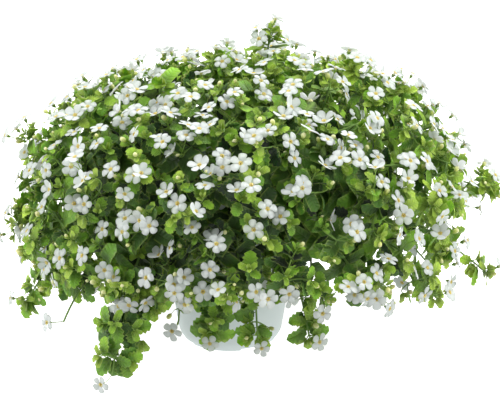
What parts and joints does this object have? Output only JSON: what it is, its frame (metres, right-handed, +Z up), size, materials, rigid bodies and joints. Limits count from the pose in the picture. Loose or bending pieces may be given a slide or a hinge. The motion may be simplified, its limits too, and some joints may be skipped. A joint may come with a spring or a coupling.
{
  "type": "potted bacopa",
  "caption": "Flowering bacopa in a white grower pot: a wide dense mound of leafy stems with small toothed leaves and white five-lobed flowers, trailing over the rim.",
  "frame": {"origin": "centre of the underside of the pot, on the surface that the pot stands on", "axes": "+Z up; the picture looks along +Y, from the -Y side, with +X to the right, where the mound reaches furthest"},
  "size_m": [0.5051, 0.4314, 0.3201],
  "materials": {
    "pot": "thin moulded white plastic, satin, with a cool grey-green tint",
    "soil": "dark brown crumbly peat potting soil, matt",
    "foliage": "fresh yellow-green leaves and thin green stems, satin",
    "petal": "white petals, soft and matt",
    "throat": "golden yellow flower throats and anthers"
  },
  "bodies": {
    "root": {"pot": "pot", "soil": "soil", "leafy_stem_01": "foliage", "leafy_stem_02": "foliage", "leafy_stem_03": "foliage", "leafy_stem_04": "foliage", "leafy_stem_05": "foliage", "leafy_stem_06": "foliage", "leafy_stem_07": "foliage", "leafy_stem_08": "foliage", "leafy_stem_09": "foliage", "leafy_stem_10": "foliage", "leafy_stem_11": "foliage", "leafy_stem_12": "foliage", "leafy_stem_13": "foliage", "leafy_stem_14": "foliage", "leafy_stem_15": "foliage", "leafy_stem_16": "foliage", "leafy_stem_17": "foliage", "leafy_stem_18": "foliage", "leafy_stem_19": "foliage", "leafy_stem_20": "foliage", "leafy_stem_21": "foliage", "leafy_stem_22": "foliage", "leafy_stem_23": "foliage", "leafy_stem_24": "foliage", "leafy_stem_25": "foliage", "leafy_stem_26": "foliage", "leafy_stem_27": "foliage", "leafy_stem_28": "foliage", "leafy_stem_29": "foliage", "leafy_stem_30": "foliage", "leafy_stem_31": "foliage", "leafy_stem_32": "foliage", "leafy_stem_33": "foliage", "leafy_stem_34": "foliage", "leafy_stem_35": "foliage", "leafy_stem_36": "foliage", "leafy_stem_37": "foliage", "leafy_stem_38": "foliage", "leafy_stem_39": "foliage", "leafy_stem_40": "foliage", "leafy_stem_41": "foliage", "leafy_stem_42": "foliage", "runner_01": "foliage", "runner_02": "foliage", "runner_03": "foliage", "runner_04": "foliage", "runner_05": "foliage", "runner_06": "foliage", "runner_07": "foliage", "runner_08": "foliage", "runner_09": "foliage", "runner_10": "foliage", "runner_11": "foliage", "runner_12": "foliage", "runner_13": "foliage"}
  },
  "joints": []
}
